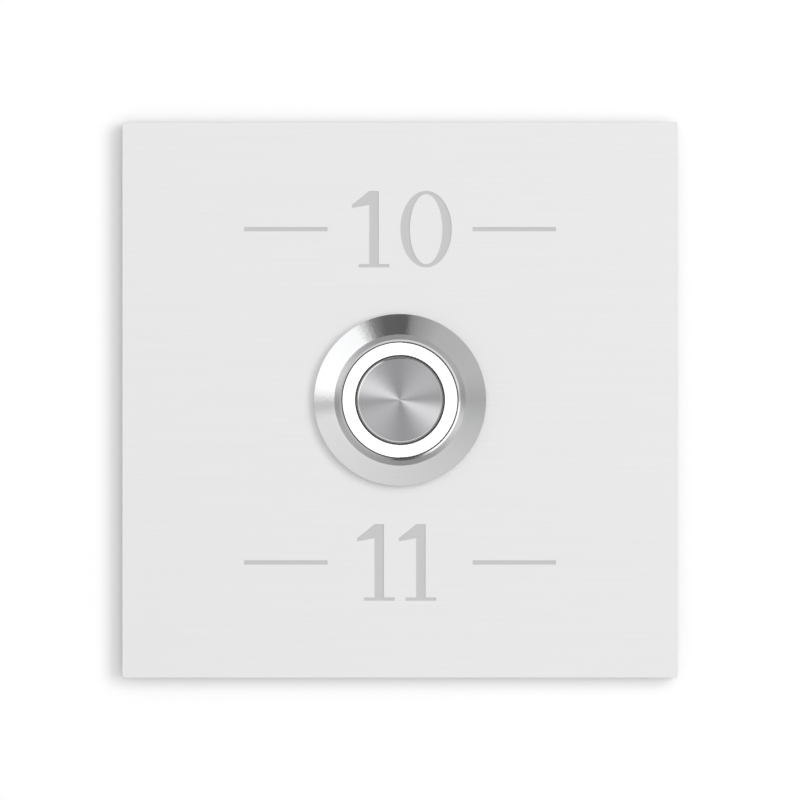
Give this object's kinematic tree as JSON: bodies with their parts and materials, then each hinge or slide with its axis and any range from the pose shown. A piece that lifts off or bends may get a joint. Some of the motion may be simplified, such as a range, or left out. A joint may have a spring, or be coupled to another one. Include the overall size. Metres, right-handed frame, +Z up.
{
  "type": "doorbell push button",
  "caption": "Square stainless wall plate with a round metal push button in its middle: bevelled flange, lit white ring and turned cap, held to the wall by studs.",
  "frame": {"origin": "on the wall plane, on the button's axis, at the middle of the plate", "axes": "+X to the right as seen from the front, +Y into the wall, +Z up; the front faces -Y"},
  "size_m": [0.08, 0.0308, 0.08],
  "materials": {
    "plate_steel": "fine satin grain",
    "button_steel": "turned and polished",
    "cap_steel": "face turned in fine circles",
    "diffuser": "frosted clear plastic, lit from behind",
    "foam": "closed cell foam",
    "seal_rubber": "matt",
    "plated_steel": "bright plated",
    "stud_steel": "rolled thread",
    "spring_steel": "drawn wire",
    "board": "solder masked laminate",
    "chip_white": "moulded lamp chip",
    "chip_black": "chip resistor",
    "black_moulding": "fine moulded texture",
    "white_moulding": "smooth moulded",
    "contact_metal": "stamped strip",
    "tip_silver": "silver alloy rivet",
    "lug_metal": "tinned"
  },
  "bodies": {
    "base": {"front_plate": "plate_steel", "wall_gasket": "foam", "weld_studs": "stud_steel", "button_housing": "button_steel", "flange_seal": "seal_rubber", "lock_washer": "plated_steel", "hex_nut": "plated_steel", "light_ring": "diffuser", "led_board": "board", "leds": "chip_white", "resistors": "chip_black", "return_spring": "spring_steel", "contact_block": "black_moulding", "terminal_base": "black_moulding", "base_snap_ring": "spring_steel", "fixed_tips": "tip_silver", "common_lug": "lug_metal", "switched_lug": "lug_metal", "lamp_plus_lug": "lug_metal", "lamp_minus_lug": "lug_metal"},
    "button": {"button_cap": "cap_steel", "plunger": "white_moulding", "plunger_seal": "seal_rubber", "plunger_clip": "spring_steel", "contact_spring": "spring_steel", "contact_bridge": "contact_metal", "moving_tips": "tip_silver", "bridge_keeper": "plated_steel"}
  },
  "joints": [
    {"name": "button_press", "type": "slide", "parent": "base", "child": "button", "axis": [0, 1, 0], "range_m": [0, 0.002], "stiffness_N_per_m": 800, "springref_m": -0.002, "deforming": ["return_spring"]}
  ]
}
